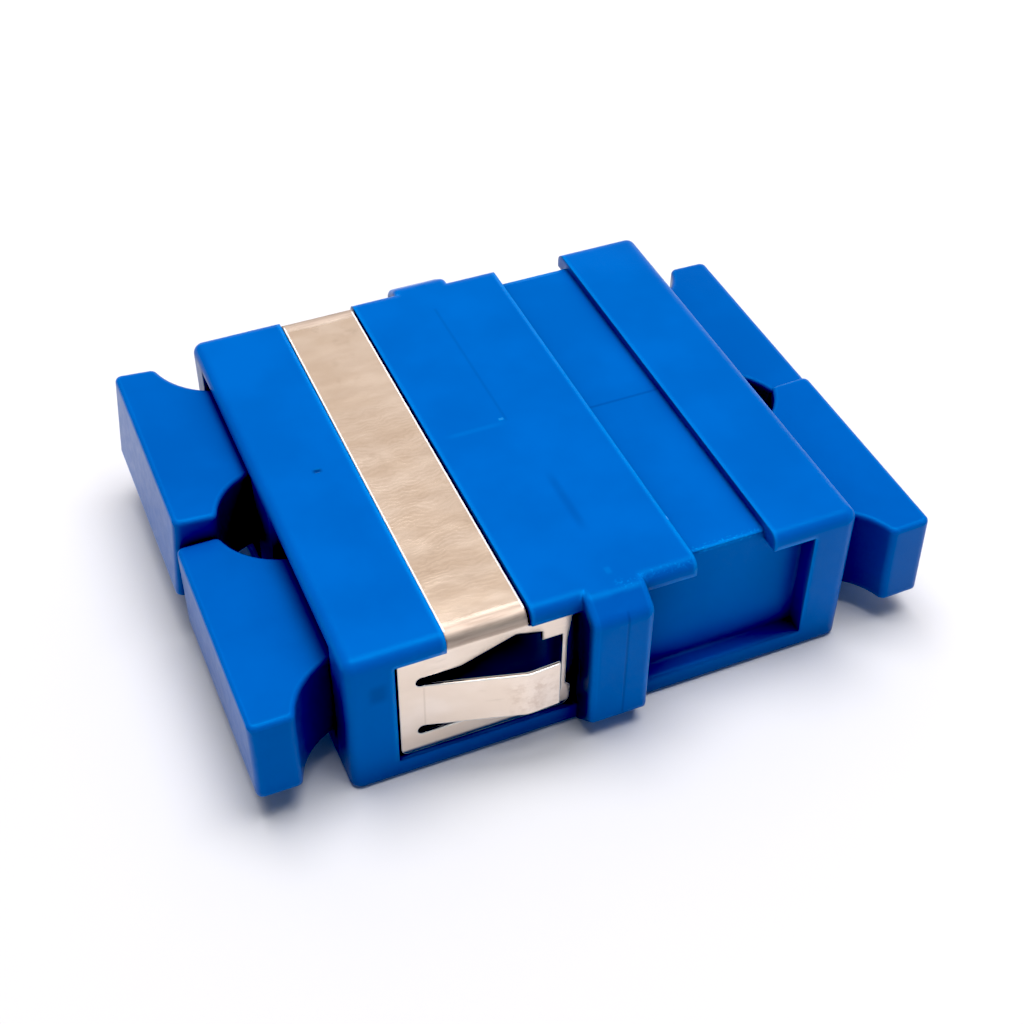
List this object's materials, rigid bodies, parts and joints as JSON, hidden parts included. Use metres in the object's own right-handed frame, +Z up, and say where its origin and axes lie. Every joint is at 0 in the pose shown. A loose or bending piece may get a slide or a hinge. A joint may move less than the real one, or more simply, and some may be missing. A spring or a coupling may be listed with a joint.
{
  "type": "duplex fibre adapter with dust plugs",
  "caption": "Blue moulded flangeless adapter block that joins paired fibre connectors end to end, with a steel panel clip and dust plugs in its ports.",
  "frame": {"origin": "under the middle of the housing, on the surface that the adapter lies on", "axes": "+X along the fibres, towards the side without the clip; +Y across the pair of channels, towards the back; +Z up"},
  "size_m": [0.0377, 0.0296, 0.0092],
  "materials": {
    "housing_blue": "moulded blue plastic with a soft satin sheen",
    "plug_blue": "moulded blue plastic, a little softer and glossier than the housing",
    "holder_blue": "moulded blue plastic inside the ports",
    "clip_steel": "bare stainless spring steel, fine rolling marks and light scratches, bright cut edges",
    "sleeve_ceramic": "ground white zirconia ceramic"
  },
  "bodies": {
    "adapter": {"housing_left": "housing_blue", "housing_right": "housing_blue", "spring_clip": "clip_steel", "sleeve_holder_left_front": "holder_blue", "sleeve_holder_left_back": "holder_blue", "sleeve_holder_right_front": "holder_blue", "sleeve_holder_right_back": "holder_blue", "alignment_sleeve_front": "sleeve_ceramic", "alignment_sleeve_back": "sleeve_ceramic"},
    "plug_left_front": {"dust_plug_left_front": "plug_blue"},
    "plug_left_back": {"dust_plug_left_back": "plug_blue"},
    "plug_right_front": {"dust_plug_right_front": "plug_blue"},
    "plug_right_back": {"dust_plug_right_back": "plug_blue"}
  },
  "joints": [
    {"name": "plug_left_front_pull", "type": "slide", "parent": "adapter", "child": "plug_left_front", "axis": [-1, 0, 0], "range_m": [0, 0.012]},
    {"name": "plug_left_back_pull", "type": "slide", "parent": "adapter", "child": "plug_left_back", "axis": [-1, 0, 0], "range_m": [0, 0.012]},
    {"name": "plug_right_front_pull", "type": "slide", "parent": "adapter", "child": "plug_right_front", "axis": [1, 0, 0], "range_m": [0, 0.012]},
    {"name": "plug_right_back_pull", "type": "slide", "parent": "adapter", "child": "plug_right_back", "axis": [1, 0, 0], "range_m": [0, 0.012]}
  ]
}
